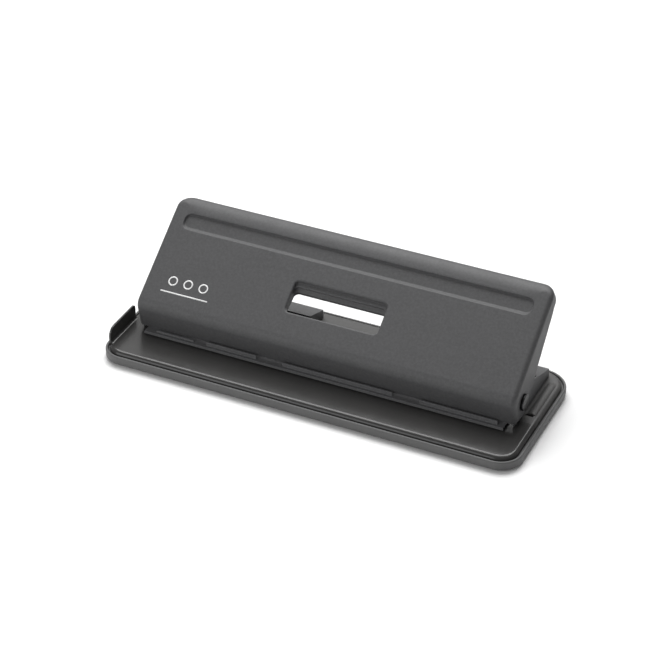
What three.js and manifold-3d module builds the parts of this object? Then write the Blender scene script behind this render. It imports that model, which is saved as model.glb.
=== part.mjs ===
// Three hole punch: a long pressed-steel lever hinged on a low base, with three spring-loaded
// punch pins over a die plate, and a plastic chip tray under it. Millimetres, +X to the user's
// right, +Y to the rear, +Z up. The origin is the middle of the footprint, on the table.
import * as THREE from "three";
import { mergeVertices } from "three/addons/utils/BufferGeometryUtils.js";
import Module from "manifold-3d";

const wasm = await Module();
wasm.setup();

// ---- driving dimensions -------------------------------------------------------------------
const GAP = 0.3; // left between pieces that touch on the real object
const HOLE_PITCH = 108; // between the holes of a three-hole sheet
const HOLE_DIAMETER = 7;
const HOLE_MARGIN = 12.7; // from a hole's centre to the sheet's edge
const SHEET_HALF_LENGTH = 139.7;
const SHEET_METAL = 1.2;

const TRAY_LENGTH = 288;
const TRAY_FRONT_Y = -51.1;
const TRAY_REAR_Y = 54.2;
const TRAY_TOP = 7.2;
const TRAY_FRONT_CORNER = 14.8;
const TRAY_REAR_CORNER = 19;
const TRAY_WALL = 1.8;
const TRAY_FLOOR = 1.2;
const TRAY_LEDGE_TOP = 5.4; // the inner ledge that carries the base plate's skirt
const TRAY_LEDGE_WIDTH = 2.8;
const FOOT_HEIGHT = 1;
const FOOT_RADIUS = 6;
const FOOT_INSET_X = 26;
const FOOT_INSET_Y = 13;

const GROOVE = 1; // between the tray's wall and the base plate's skirt
const BASE_TOP = 8.8;
const BASE_EDGE_RADIUS = 2.4;
const PUNCH_Y = 4;
const BACK_STOP_Y = PUNCH_Y + HOLE_MARGIN;

const THROAT = 1.6; // the slot that takes the sheets
const THROAT_PLATE = 1;
const GUIDE_FRONT_Y = -22.4;
const GUIDE_HEM_DROP = 0.7; // how far the guide's front hem reaches down into the throat
const GUIDE_TAB_Y = -20.3;
const GUIDE_TAB_TOP = 13.9;
const GUIDE_HALF_LENGTH = 125;
const SPACER_REAR_Y = 24;

const HINGE_Y = -6;
const HINGE_Z = 22.5;
const HINGE_RADIUS = 2.5;
const HINGE_HEAD_RADIUS = 5.5;
const HINGE_HEAD = 2;

const HANDLE_HALF_LENGTH = 131.4;
const HANDLE_TILT = THREE.MathUtils.degToRad(35.26);
const HANDLE_BEND_Y = -21.66; // where the top plate's face and the front lip's face would meet
const HANDLE_BEND_Z = 30.78;
const HANDLE_DEPTH = 82.3;
const HANDLE_REAR_FLANGE = 9;
const HANDLE_CORNER = 8.5;
const HANDLE_BEND_RADIUS = 8;
const HANDLE_ROLL_RADIUS = 6;
const LIP_BOTTOM_Y = -17.5;
const LIP_BOTTOM_Z = 12.3;
const FLANGE_EAR_RADIUS = 11;
const SLOT_HALF_LENGTH = 32;
const SLOT_FRONT = 20.7;
const SLOT_REAR = 42.5;
const SLOT_CORNER = 3;
const SLOT_COLLAR = 6.2;
const SLOT_FRONT_COLLAR = 2.4;
const SLOT_REAR_WALL = 10.2; // hangs plumb from the slot's rear edge
const RECESS_HALF_LENGTH = 121.5;
const RECESS_FRONT = 57.5;
const RECESS_REAR = 69.3;
const RECESS_CORNER = 4.5;
const RECESS_DEPTH = 0.5;

const PRESS_TRAVEL = THREE.MathUtils.degToRad(30);
const PAD_TILT = PRESS_TRAVEL / 2; // the pads stand half the travel above level at rest
const PRESS_BAR_HALF_LENGTH = 120;
const PRESS_BAR_SHEET = 1.5;
const PAD_CLEARANCE = 0.5;

const BRACKET_TOP = 20;
const BRACKET_HALF_LENGTH = 9;
const BRACKET_FOOT = 15.5;
const BRACKET_HALF_WIDTH = 8;
const SPRING_RADIUS = 5;
const SPRING_WIRE = 0.8;
const SPRING_TURNS = 4.5;
const SPRING_LENGTH = 9.4;
const CLIP = 0.8;
const CLIP_RADIUS = 6.2;
const PIN_RADIUS = HOLE_DIAMETER / 2;
const PIN_TOP = 32;
const PIN_DOME = 1;
const PIN_CLEARANCE = 0.2;

const HOUSING_INNER_X = 28;
const HOUSING_FRONT_Y = 24.6;
const HOUSING_REAR_Y = 47.4;
const HOUSING_CORNER = 3.5;
const RIVET_RADIUS = 1.5;
const RIVET_HEAD_RADIUS = 2.6;
const RIVET_HEAD = 0.9;

const PUNCHES = [
  ["left", -HOLE_PITCH],
  ["middle", 0],
  ["right", HOLE_PITCH],
];
const ENDS = [
  ["left", -1],
  ["right", 1],
];

// ---- materials ----------------------------------------------------------------------------
const material = (color, roughness, metalness) =>
  new THREE.MeshStandardMaterial({ color, roughness, metalness });
const POWDER_COAT = material(0x4b4b4e, 0.55, 0.3);
const BLACK_PLASTIC = material(0x3a3a3c, 0.5, 0);
const ZINC_STEEL = material(0x9a9b9e, 0.35, 0.9);
const TOOL_STEEL = material(0xb4b5b8, 0.25, 1);
const SPRING_STEEL = material(0x8d8e90, 0.3, 1);
const RUBBER = material(0x1d1d1f, 0.85, 0);

// ---- solids -------------------------------------------------------------------------------
// A closed geometry as a manifold-3d solid.
function solid(geometry) {
  const bare = geometry.clone();
  bare.deleteAttribute("normal");
  bare.deleteAttribute("uv");
  const merged = mergeVertices(bare, 1e-4);
  return new wasm.Manifold(
    new wasm.Mesh({
      numProp: 3,
      vertProperties: merged.attributes.position.array,
      triVerts: new Uint32Array(merged.index.array),
    }),
  );
}

// A manifold-3d solid as a mesh with a name.
function part(name, shape, paint) {
  const made = shape.getMesh();
  const points = new Float32Array(made.numVert * 3);
  for (let i = 0; i < made.numVert; i += 1) {
    const start = i * made.numProp;
    points.set(made.vertProperties.subarray(start, start + 3), i * 3);
  }
  const geometry = new THREE.BufferGeometry()
    .setAttribute("position", new THREE.BufferAttribute(points, 3))
    .setIndex(new THREE.BufferAttribute(made.triVerts, 1));
  geometry.computeVertexNormals();
  const mesh = new THREE.Mesh(geometry, paint);
  mesh.name = name;
  return mesh;
}

const union = (shapes) => shapes.reduce((all, one) => all.add(one));
const cut = (shape, tools) => tools.reduce((left, tool) => left.subtract(tool), shape);

// A block between two corners.
function block(low, high) {
  const size = high.map((value, i) => value - low[i]);
  const centre = high.map((value, i) => (value + low[i]) / 2);
  return solid(new THREE.BoxGeometry(...size).translate(...centre));
}

// An upright round bar.
function post(x, y, bottom, top, radius, sides = 24) {
  const geometry = new THREE.CylinderGeometry(radius, radius, top - bottom, sides);
  geometry.rotateX(Math.PI / 2);
  return solid(geometry.translate(x, y, (bottom + top) / 2));
}

// A round bar along X.
function crossBar(from, to, y, z, radius, sides = 24) {
  const geometry = new THREE.CylinderGeometry(radius, radius, to - from, sides);
  geometry.rotateZ(-Math.PI / 2);
  return solid(geometry.translate((from + to) / 2, y, z));
}

// A turned piece about the upright line through x, y, from a profile of [radius, z] points.
function turned(x, y, profile, sides = 24) {
  const points = profile.map(([radius, z]) => new THREE.Vector2(radius, z));
  const geometry = new THREE.LatheGeometry(points, sides);
  geometry.rotateX(Math.PI / 2);
  return solid(geometry.translate(x, y, 0));
}

// An outline through a list of points.
function outline(points) {
  return new THREE.Shape(points.map(([x, y]) => new THREE.Vector2(x, y)));
}

// Points along an arc, by angles in degrees.
function arc(x, y, radius, from, to, steps) {
  const points = [];
  for (let i = 0; i <= steps; i += 1) {
    const angle = THREE.MathUtils.degToRad(from + ((to - from) * i) / steps);
    points.push([x + radius * Math.cos(angle), y + radius * Math.sin(angle)]);
  }
  return points;
}

// A rectangle with rounded corners, as an outline. A corner radius of 0 leaves a corner square.
function roundedRectangle(x0, x1, y0, y1, [front, rear], steps = 6) {
  const corner = (x, y, radius, turn) => (radius > 0 ? arc(x, y, radius, turn, turn + 90, steps) : [[x, y]]);
  return outline([
    ...corner(x1 - front, y0 + front, front, -90),
    ...corner(x1 - rear, y1 - rear, rear, 0),
    ...corner(x0 + rear, y1 - rear, rear, 90),
    ...corner(x0 + front, y0 + front, front, 180),
  ]);
}

const extruded = (shape, depth) => new THREE.ExtrudeGeometry(shape, { depth, bevelEnabled: false });

// A prism standing on an outline of the plan, from bottom to top.
const upright = (shape, bottom, top) =>
  solid(extruded(shape, top - bottom).translate(0, 0, bottom));

// A prism along X, from an outline drawn in the Y-Z plane.
function alongX(shape, from, to) {
  const geometry = extruded(shape, to - from);
  const place = new THREE.Matrix4().makeBasis(
    new THREE.Vector3(0, 1, 0),
    new THREE.Vector3(0, 0, 1),
    new THREE.Vector3(1, 0, 0),
  );
  return solid(geometry.applyMatrix4(place).translate(from, 0, 0));
}

// ---- chip tray and feet -------------------------------------------------------------------
const TRAY_BOTTOM = FOOT_HEIGHT;
const TRAY_INNER_FLOOR = TRAY_BOTTOM + TRAY_FLOOR;
const FOOT_SHANK_RADIUS = 2.5;
const footPlaces = [];
for (const sideX of [-1, 1]) {
  for (const sideY of [-1, 1]) {
    const x = sideX * (TRAY_LENGTH / 2 - FOOT_INSET_X);
    const y = (sideY < 0 ? TRAY_FRONT_Y : TRAY_REAR_Y) - sideY * FOOT_INSET_Y;
    const name = (sideY < 0 ? "front" : "rear") + (sideX < 0 ? "_left" : "_right");
    footPlaces.push([name, x, y]);
  }
}

// The plan of the tray, drawn in by inset on every side.
function trayPlan(inset) {
  const halfLength = TRAY_LENGTH / 2 - inset;
  const corners = [TRAY_FRONT_CORNER - inset, TRAY_REAR_CORNER - inset];
  return roundedRectangle(-halfLength, halfLength, TRAY_FRONT_Y + inset, TRAY_REAR_Y - inset, corners);
}

// A solid over the tray's plan: upright sides from bottom to top, then an edge rounded by edgeRadius.
function roundedPad(inset, bottom, top, edgeRadius, segments) {
  const geometry = new THREE.ExtrudeGeometry(trayPlan(inset + edgeRadius), {
    depth: top - bottom,
    bevelThickness: edgeRadius,
    bevelSize: edgeRadius,
    bevelSegments: segments,
  });
  const tall = solid(geometry.translate(0, 0, bottom));
  const reach = TRAY_LENGTH;
  return tall.intersect(block([-reach, -reach, bottom], [reach, reach, top + edgeRadius]));
}

function chipTray() {
  const chamfer = 0.8;
  const pad = new THREE.ExtrudeGeometry(trayPlan(chamfer), {
    depth: TRAY_TOP - TRAY_BOTTOM - 2 * chamfer,
    bevelThickness: chamfer,
    bevelSize: chamfer,
    bevelSegments: 2,
  });
  const body = solid(pad.translate(0, 0, TRAY_BOTTOM + chamfer));
  const mouth = upright(trayPlan(TRAY_WALL), TRAY_LEDGE_TOP, TRAY_TOP + 1);
  const cavity = upright(trayPlan(TRAY_WALL + TRAY_LEDGE_WIDTH), TRAY_INNER_FLOOR, TRAY_TOP + 1);
  const holes = footPlaces.map(([, x, y]) =>
    post(x, y, 0, TRAY_INNER_FLOOR + 1, FOOT_SHANK_RADIUS + GAP, 16),
  );
  return cut(body, [mouth, cavity, ...holes]);
}

function foot(x, y) {
  const under = TRAY_BOTTOM - GAP;
  const barbBottom = TRAY_INNER_FLOOR + GAP;
  const barbTop = barbBottom + 0.8;
  const barb = FOOT_SHANK_RADIUS + 0.8;
  return turned(x, y, [
    [0, 0],
    [FOOT_RADIUS - 0.3, 0],
    [FOOT_RADIUS, 0.3],
    [FOOT_RADIUS, under],
    [FOOT_SHANK_RADIUS, under],
    [FOOT_SHANK_RADIUS, barbBottom],
    [barb, barbBottom],
    [FOOT_SHANK_RADIUS, barbTop],
    [0, barbTop],
  ]);
}

// ---- base plate ---------------------------------------------------------------------------
const SKIRT_INSET = TRAY_WALL + GROOVE;
const SKIRT_BOTTOM = TRAY_LEDGE_TOP + GAP;
const BASE_UNDERSIDE = BASE_TOP - SHEET_METAL;
const STOP_FRONT_Y = -40.5;
const STOP_REAR_Y = -7.5;
const STOP_TOP = 19;
const RELIEF_FROM_X = 131.2;
const RELIEF_TO_X = 136.4;
const RELIEF_FRONT_Y = -0.4;
const RELIEF_REAR_Y = 1.4;
// The raised bead beside each back frame, from the relief notch to near the rear corner:
// its section as x and height over the plate.
const BEAD_SECTION = [
  [131.6, -0.5],
  [131.6, 0.2],
  [133.2, 0.9],
  [136.2, 0.9],
  [137.8, 0.2],
  [137.8, -0.5],
];
const BEAD_REAR_Y = 39;

function paperStop() {
  const corner = 6;
  const shape = outline([
    [STOP_REAR_Y, SKIRT_BOTTOM],
    [STOP_REAR_Y, STOP_TOP - 1.5],
    [STOP_REAR_Y - 1.5, STOP_TOP],
    ...arc(STOP_FRONT_Y + corner, STOP_TOP - corner, corner, 90, 180, 5),
    [STOP_FRONT_Y, SKIRT_BOTTOM],
  ]);
  return alongX(shape, -SHEET_HALF_LENGTH - SHEET_METAL, -SHEET_HALF_LENGTH);
}

function edgeBead(side) {
  const section = BEAD_SECTION.map(([x, height]) => [side * x, BASE_TOP + height]);
  const shape = outline(side < 0 ? section.reverse() : section);
  return upright(shape, -BEAD_REAR_Y, -RELIEF_REAR_Y).rotate([90, 0, 0]);
}

// Where rivets hold the paper guide and its spacer on the base plate.
const spacerRivets = [];
for (const [name, side] of ENDS) {
  for (const [place, x] of [["inner", 40], ["outer", 118]]) {
    spacerRivets.push([name + "_" + place, side * x, (BACK_STOP_Y + SPACER_REAR_Y) / 2]);
  }
}

function basePlate() {
  const outer = roundedPad(SKIRT_INSET, SKIRT_BOTTOM, BASE_TOP - BASE_EDGE_RADIUS, BASE_EDGE_RADIUS, 3);
  const innerRadius = BASE_EDGE_RADIUS - SHEET_METAL;
  const inner = roundedPad(
    SKIRT_INSET + SHEET_METAL,
    SKIRT_BOTTOM - 1,
    BASE_UNDERSIDE - innerRadius,
    innerRadius,
    2,
  );
  const dies = PUNCHES.map(([, x]) => post(x, PUNCH_Y, 0, BASE_TOP + 1, PIN_RADIUS + PIN_CLEARANCE));
  const reliefs = ENDS.map(([, side]) => {
    const ends = [side * RELIEF_FROM_X, side * RELIEF_TO_X].sort((a, b) => a - b);
    return block([ends[0], RELIEF_FRONT_Y, BASE_UNDERSIDE - 1], [ends[1], RELIEF_REAR_Y, BASE_TOP + 1]);
  });
  const rivetHoles = spacerRivets.map(([, x, y]) =>
    post(x, y, 0, BASE_TOP + 1, RIVET_RADIUS + GAP, 12),
  );
  const pan = cut(outer, [inner, ...dies, ...reliefs, ...rivetHoles]);
  return union([pan, paperStop(), ...ENDS.map(([, side]) => edgeBead(side))]);
}

// ---- paper guide, spacers and back frames -------------------------------------------------
const GUIDE_BOTTOM = BASE_TOP + THROAT;
const GUIDE_TOP = GUIDE_BOTTOM + THROAT_PLATE;
// The tabs turned up behind the guide's front hem: each from x to x, and how high it stands.
const GUIDE_TABS = [
  [-117, -90, GUIDE_TAB_TOP - 1.4],
  [-80.5, -44.8, GUIDE_TAB_TOP],
  [-26, 50, GUIDE_TAB_TOP],
  [68.7, 120.5, GUIDE_TAB_TOP],
];
const bracketRivets = [];
for (const [name, x] of PUNCHES) {
  for (const [end, side] of ENDS) {
    const along = side * (BRACKET_HALF_LENGTH + BRACKET_FOOT) * 0.5;
    bracketRivets.push([name + "_" + end, x + along, PUNCH_Y]);
  }
}

function paperGuide() {
  const plate = block(
    [-GUIDE_HALF_LENGTH, GUIDE_FRONT_Y, GUIDE_BOTTOM],
    [GUIDE_HALF_LENGTH, SPACER_REAR_Y, GUIDE_TOP],
  );
  const hem = block(
    [-GUIDE_HALF_LENGTH, GUIDE_FRONT_Y, GUIDE_BOTTOM - GUIDE_HEM_DROP],
    [GUIDE_HALF_LENGTH, GUIDE_FRONT_Y + THROAT_PLATE, GUIDE_TOP],
  );
  const tabs = GUIDE_TABS.map(([from, to, top]) =>
    block([from, GUIDE_TAB_Y, GUIDE_BOTTOM], [to, GUIDE_TAB_Y + THROAT_PLATE, top]),
  );
  const pinHoles = PUNCHES.map(([, x]) => post(x, PUNCH_Y, 0, BRACKET_TOP, PIN_RADIUS + PIN_CLEARANCE));
  const rivetHoles = [...bracketRivets, ...spacerRivets].map(([, x, y]) =>
    post(x, y, 0, BRACKET_TOP, RIVET_RADIUS + GAP, 12),
  );
  return cut(union([plate, hem, ...tabs]), [...pinHoles, ...rivetHoles]);
}

function spacer(side) {
  const ends = [side * (HOUSING_INNER_X + 2), side * (GUIDE_HALF_LENGTH - 1)].sort((a, b) => a - b);
  const bar = block(
    [ends[0], BACK_STOP_Y, BASE_TOP + GAP],
    [ends[1], SPACER_REAR_Y, GUIDE_BOTTOM - GAP],
  );
  const holes = spacerRivets.map(([, x, y]) => post(x, y, 0, GUIDE_TOP, RIVET_RADIUS + GAP, 12));
  return cut(bar, holes);
}

// The side outline of a back frame: its deck falls from the hinge ears to the base's rear edge.
const CHEEK_OUTER_X = HANDLE_HALF_LENGTH - SHEET_METAL - GAP;
const FRAME_BOTTOM = BASE_TOP + GAP;
const DECK_FRONT = [14.8, 25.2];
const DECK_REAR = [43.6, 15.2];
const REAR_FACE_TOP = 11.4; // where the housing's rear face starts to lean in towards the deck
const REAR_SHOULDER = [0.8, 13.4]; // how far in from the rear face it is, and its height
const DECK_SLOPE = (DECK_REAR[1] - DECK_FRONT[1]) / (DECK_REAR[0] - DECK_FRONT[0]);
const deckHeight = (y) => DECK_FRONT[1] + (y - DECK_FRONT[0]) * DECK_SLOPE;

function cheek(side) {
  const ear = 8.5;
  const shape = outline([
    [HINGE_Y - ear, FRAME_BOTTOM],
    [HOUSING_REAR_Y, FRAME_BOTTOM],
    [HOUSING_REAR_Y, REAR_FACE_TOP],
    [HOUSING_REAR_Y - REAR_SHOULDER[0], REAR_SHOULDER[1]],
    DECK_REAR,
    DECK_FRONT,
    ...arc(HINGE_Y, HINGE_Z, ear, 62, 180, 7),
  ]);
  const ends = [side * CHEEK_OUTER_X, side * (CHEEK_OUTER_X - SHEET_METAL)].sort((a, b) => a - b);
  return alongX(shape, ends[0], ends[1]);
}

// The wedge of the housing, drawn in by inset from its faces.
function wedge(side, inset) {
  const front = HOUSING_FRONT_Y + inset;
  const rear = HOUSING_REAR_Y - inset;
  const bottom = FRAME_BOTTOM - (inset > 0 ? 1 : 0);
  const shape = outline([
    [front, bottom],
    [rear, bottom],
    [rear, REAR_FACE_TOP - inset],
    [rear - REAR_SHOULDER[0], REAR_SHOULDER[1] - inset],
    [DECK_REAR[0] - inset, DECK_REAR[1] - inset],
    [front, deckHeight(front) - inset],
  ]);
  const ends = [side * (HOUSING_INNER_X + inset), side * (CHEEK_OUTER_X - inset)];
  const [low, high] = ends.sort((a, b) => a - b);
  const corner = HOUSING_CORNER - inset;
  const plan = roundedRectangle(low, high, front, rear, [0, corner]);
  return alongX(shape, low, high).intersect(upright(plan, bottom, BRACKET_TOP * 2));
}

function backFrame(side) {
  const shell = wedge(side, 0).subtract(wedge(side, SHEET_METAL));
  const tall = side * (CHEEK_OUTER_X - SHEET_METAL / 2);
  const hole = crossBar(tall - 3, tall + 3, HINGE_Y, HINGE_Z, HINGE_RADIUS + GAP);
  const rounding = roundedRectangle(
    side < 0 ? -CHEEK_OUTER_X : 0,
    side < 0 ? 0 : CHEEK_OUTER_X,
    HINGE_Y - 20,
    HOUSING_REAR_Y,
    [0, HOUSING_CORNER],
  );
  const ear = cheek(side).intersect(upright(rounding, 0, BRACKET_TOP * 2));
  return shell.add(ear).subtract(hole);
}

function hingePin(side) {
  const inside = side * (CHEEK_OUTER_X - SHEET_METAL - 3);
  const face = side * (HANDLE_HALF_LENGTH + GAP);
  const top = side * (HANDLE_HALF_LENGTH + GAP + HINGE_HEAD);
  const bar = crossBar(Math.min(inside, top), Math.max(inside, top), HINGE_Y, HINGE_Z, HINGE_RADIUS);
  const head = crossBar(Math.min(face, top), Math.max(face, top), HINGE_Y, HINGE_Z, HINGE_HEAD_RADIUS);
  const inner = side * (CHEEK_OUTER_X - SHEET_METAL - GAP);
  const neck = HINGE_RADIUS - 0.5;
  const grooveEnds = [inner, inner - side * (CLIP + GAP)].sort((a, b) => a - b);
  const ring = crossBar(grooveEnds[0], grooveEnds[1], HINGE_Y, HINGE_Z, HINGE_RADIUS + 1).subtract(
    crossBar(grooveEnds[0] - 1, grooveEnds[1] + 1, HINGE_Y, HINGE_Z, neck),
  );
  return bar.add(head).subtract(ring);
}

// An open retaining ring about an axis through the origin of its plane, as an outline.
function clipOutline(inner, outer) {
  const mouth = 50;
  return outline([
    ...arc(0, 0, outer, -90 + mouth, 270 - mouth, 16),
    ...arc(0, 0, inner, 270 - mouth, -90 + mouth, 12),
  ]);
}

function hingeClip(side) {
  const inner = side * (CHEEK_OUTER_X - SHEET_METAL - GAP);
  const ends = [inner - side * 0.15, inner - side * (CLIP + 0.15)].sort((a, b) => a - b);
  const ring = alongX(clipOutline(HINGE_RADIUS - 0.3, HINGE_RADIUS + 2), ends[0], ends[1]);
  return ring.translate(0, HINGE_Y, HINGE_Z);
}

function rivet(x, y, bottom, seat) {
  return turned(
    x,
    y,
    [
      [0, bottom],
      [RIVET_RADIUS, bottom],
      [RIVET_RADIUS, seat + GAP],
      [RIVET_HEAD_RADIUS, seat + GAP],
      [RIVET_HEAD_RADIUS * 0.8, seat + GAP + RIVET_HEAD * 0.7],
      [0, seat + GAP + RIVET_HEAD],
    ],
    12,
  );
}

// ---- punch units --------------------------------------------------------------------------
const BRACKET_BOTTOM = GUIDE_TOP + GAP;
const SPRING_BOTTOM = BRACKET_TOP + GAP;
const CLIP_BOTTOM = SPRING_BOTTOM + SPRING_LENGTH + GAP;
const PIN_TIP = GUIDE_BOTTOM + 0.3;

function punchBracket(x) {
  const inside = BRACKET_HALF_LENGTH - SHEET_METAL;
  const profile = outline([
    [-BRACKET_FOOT, BRACKET_BOTTOM],
    [-inside, BRACKET_BOTTOM],
    [-inside, BRACKET_TOP - SHEET_METAL],
    [inside, BRACKET_TOP - SHEET_METAL],
    [inside, BRACKET_BOTTOM],
    [BRACKET_FOOT, BRACKET_BOTTOM],
    [BRACKET_FOOT, BRACKET_BOTTOM + SHEET_METAL],
    [BRACKET_HALF_LENGTH, BRACKET_BOTTOM + SHEET_METAL],
    [BRACKET_HALF_LENGTH, BRACKET_TOP],
    [-BRACKET_HALF_LENGTH, BRACKET_TOP],
    [-BRACKET_HALF_LENGTH, BRACKET_BOTTOM + SHEET_METAL],
    [-BRACKET_FOOT, BRACKET_BOTTOM + SHEET_METAL],
  ]);
  const stand = new THREE.Matrix4().makeRotationX(Math.PI / 2);
  const geometry = extruded(profile, 2 * BRACKET_HALF_WIDTH).applyMatrix4(stand);
  const strap = solid(geometry.translate(x, PUNCH_Y + BRACKET_HALF_WIDTH, 0));
  const holes = [post(x, PUNCH_Y, 0, PIN_TOP, PIN_RADIUS + PIN_CLEARANCE)];
  for (const [, rivetX, rivetY] of bracketRivets) {
    holes.push(post(rivetX, rivetY, 0, BRACKET_TOP - 2, RIVET_RADIUS + GAP, 12));
  }
  return cut(strap, holes);
}

function punchPin(x) {
  const neck = PIN_RADIUS - 0.5;
  const body = turned(x, PUNCH_Y, [
    [0, PIN_TIP],
    [PIN_RADIUS, PIN_TIP],
    [PIN_RADIUS, CLIP_BOTTOM - 0.15],
    [neck, CLIP_BOTTOM - 0.15],
    [neck, CLIP_BOTTOM + CLIP + 0.15],
    [PIN_RADIUS, CLIP_BOTTOM + CLIP + 0.15],
    [PIN_RADIUS, PIN_TOP - PIN_DOME],
    [PIN_RADIUS * 0.6, PIN_TOP - PIN_DOME * 0.3],
    [0, PIN_TOP],
  ]);
  const notch = outline([
    [PUNCH_Y - 1.6, PIN_TIP - 1],
    [PUNCH_Y + 1.6, PIN_TIP - 1],
    [PUNCH_Y, PIN_TIP + 1.6],
  ]);
  return body.subtract(alongX(notch, x - PIN_RADIUS - 1, x + PIN_RADIUS + 1));
}

function punchClip(x) {
  const ring = clipOutline(PIN_RADIUS - 0.3, CLIP_RADIUS);
  return upright(ring, CLIP_BOTTOM, CLIP_BOTTOM + CLIP).translate(x, PUNCH_Y, 0);
}

class Helix extends THREE.Curve {
  constructor(radius, rise, turns) {
    super();
    Object.assign(this, { radius, rise, turns });
  }
  getPoint(t, target = new THREE.Vector3()) {
    const angle = t * this.turns * 2 * Math.PI;
    return target.set(this.radius * Math.cos(angle), this.radius * Math.sin(angle), this.rise * t);
  }
}

function punchSpring(x) {
  const path = new Helix(SPRING_RADIUS, SPRING_LENGTH - SPRING_WIRE, SPRING_TURNS);
  const section = outline(arc(0, 0, SPRING_WIRE / 2, 0, 300, 5));
  const wire = new THREE.ExtrudeGeometry(section, {
    steps: Math.round(SPRING_TURNS * 14),
    extrudePath: path,
  });
  return solid(wire).translate(x, PUNCH_Y, SPRING_BOTTOM + SPRING_WIRE / 2);
}

// ---- handle -------------------------------------------------------------------------------
const TILT_COS = Math.cos(HANDLE_TILT);
const TILT_SIN = Math.sin(HANDLE_TILT);

// A point of the handle in the Y-Z plane, from how far up its plate it is and how deep under it.
function onHandle(along, deep) {
  return [
    HANDLE_BEND_Y + along * TILT_COS + deep * TILT_SIN,
    HANDLE_BEND_Z + along * TILT_SIN - deep * TILT_COS,
  ];
}

// The arc that rounds the corner b of the path a-b-c, from its first tangent point to its last.
function fillet(a, b, c, radius, steps) {
  const [before, corner, after] = [a, b, c].map(([x, y]) => new THREE.Vector2(x, y));
  const back = before.sub(corner).normalize();
  const on = after.sub(corner).normalize();
  const half = Math.acos(back.dot(on)) / 2;
  const middle = back.clone().add(on).normalize().multiplyScalar(radius / Math.sin(half));
  const centre = corner.clone().add(middle);
  const tangent = radius / Math.tan(half);
  const start = corner.clone().addScaledVector(back, tangent).sub(centre).angle();
  let sweep = corner.clone().addScaledVector(on, tangent).sub(centre).angle() - start;
  sweep = Math.atan2(Math.sin(sweep), Math.cos(sweep));
  const toDegrees = THREE.MathUtils.radToDeg;
  return arc(centre.x, centre.y, radius, toDegrees(start), toDegrees(start + sweep), steps);
}

// The lip's bottom edge in the handle's own along and deep directions.
const lipRun = [LIP_BOTTOM_Y - HANDLE_BEND_Y, LIP_BOTTOM_Z - HANDLE_BEND_Z];
const LIP_ALONG = lipRun[0] * TILT_COS + lipRun[1] * TILT_SIN;
const LIP_DEEP = lipRun[0] * TILT_SIN - lipRun[1] * TILT_COS;
const LIP_LENGTH = Math.hypot(LIP_ALONG, LIP_DEEP);

// A point of the lip's face moved inwards by inset, at a given depth.
function onLip(inset, deep) {
  const [alongStep, deepStep] = [LIP_ALONG / LIP_LENGTH, LIP_DEEP / LIP_LENGTH];
  const travel = (deep + inset * alongStep) / deepStep;
  return [inset * deepStep + travel * alongStep, deep];
}

// The lower edge of an end flange: along and deep of its shoulder, its knee and its ear end.
const FLANGE_EDGE = [[70.4, 10.4], [65.6, 12.2], [34.1, 19.6]];

// The side outline of the handle's top, drawn in by inset, from the lip's end to the rear edge's end.
function handleTop(inset, lipEnd, rearEnd) {
  const bend = [onLip(inset, inset)[0], inset];
  const rear = [HANDLE_DEPTH - inset, inset];
  return [
    lipEnd,
    ...fillet(lipEnd, bend, rear, HANDLE_BEND_RADIUS - inset, 6),
    ...fillet(bend, rear, rearEnd, HANDLE_ROLL_RADIUS - inset, 5),
    rearEnd,
  ].map(([along, deep]) => onHandle(along, deep));
}

// A prism square to the handle's plate, from one depth under its face to another.
function throughPlate(shape, from, to) {
  const geometry = extruded(shape, to - from).translate(0, 0, -to);
  const place = new THREE.Matrix4().makeBasis(
    new THREE.Vector3(1, 0, 0),
    new THREE.Vector3(0, TILT_COS, TILT_SIN),
    new THREE.Vector3(0, -TILT_SIN, TILT_COS),
  );
  return solid(geometry.applyMatrix4(place).translate(0, HANDLE_BEND_Y, HANDLE_BEND_Z));
}

const DEEPER_THAN_HANDLE = 60;

function handlePlan(inset) {
  const half = HANDLE_HALF_LENGTH - inset;
  const corner = HANDLE_CORNER - inset;
  return roundedRectangle(-half, half, -DEEPER_THAN_HANDLE, HANDLE_DEPTH - inset, [0, corner]);
}

function slotPlan(margin) {
  const half = SLOT_HALF_LENGTH + margin;
  const corner = SLOT_CORNER + margin;
  return roundedRectangle(-half, half, SLOT_FRONT - margin, SLOT_REAR + margin, [corner, corner]);
}

const [SLOT_REAR_Y, SLOT_REAR_Z] = onHandle(SLOT_REAR, 0);
const SLOT_WALL_BOTTOM = SLOT_REAR_Z - SLOT_REAR_WALL;

// The turned-down rim of the slot's front and sides, which ends just behind the rear wall's face.
function slotCollar() {
  const ring = throughPlate(slotPlan(SHEET_METAL), 0.1, SLOT_REAR_WALL);
  const front = SLOT_FRONT - 2;
  const lap = SHEET_METAL / 2;
  const shape = outline([
    onHandle(front, 0),
    onHandle(SLOT_REAR + lap, 0),
    [SLOT_REAR_Y + lap, SLOT_WALL_BOTTOM],
    onHandle(SLOT_REAR - SLOT_COLLAR - 2, SLOT_COLLAR),
    onHandle(SLOT_FRONT + 4, SLOT_COLLAR),
    onHandle(SLOT_FRONT + 1, SLOT_FRONT_COLLAR),
    onHandle(front, SLOT_FRONT_COLLAR),
  ]);
  return ring.intersect(alongX(shape, -2 * SLOT_HALF_LENGTH, 2 * SLOT_HALF_LENGTH));
}

// The plumb wall that hangs from the slot's rear edge, across the slot.
function slotRearWall() {
  const half = SLOT_HALF_LENGTH + SHEET_METAL;
  const shape = outline([
    [SLOT_REAR_Y, SLOT_REAR_Z],
    [SLOT_REAR_Y, SLOT_WALL_BOTTOM],
    [SLOT_REAR_Y + SHEET_METAL, SLOT_WALL_BOTTOM],
    onHandle(SLOT_REAR + 1, SHEET_METAL / 2),
  ]);
  return alongX(shape, -half, half);
}

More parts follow.
